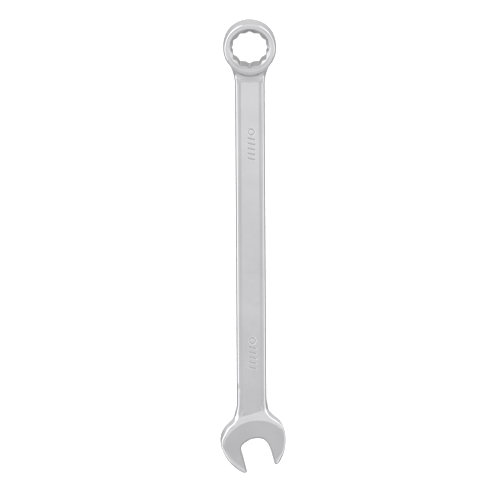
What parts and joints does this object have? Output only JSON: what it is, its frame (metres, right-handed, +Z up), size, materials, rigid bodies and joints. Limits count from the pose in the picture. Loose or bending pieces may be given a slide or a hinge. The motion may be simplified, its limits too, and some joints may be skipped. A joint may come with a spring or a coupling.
{
  "type": "combination wrench",
  "caption": "Chrome-plated combination wrench with a tilted 12-point box end, a flat panelled shank and an angled open end, for turning hex bolts and nuts.",
  "frame": {"origin": "middle of the length, on the shank's centreline, on the surface the wrench lies on", "axes": "+X from the box end to the open end along the shank, +Y to the short jaw's side, +Z up, away from the surface it lies on"},
  "size_m": [0.208, 0.03, 0.016],
  "materials": {
    "chrome_plated_steel": "satin-polished chrome plating over forged steel"
  },
  "bodies": {
    "root": {"box_end_ring": "chrome_plated_steel", "ring_neck": "chrome_plated_steel", "shank": "chrome_plated_steel", "head_neck": "chrome_plated_steel", "jaw_root": "chrome_plated_steel", "long_jaw": "chrome_plated_steel", "short_jaw": "chrome_plated_steel"}
  },
  "joints": []
}
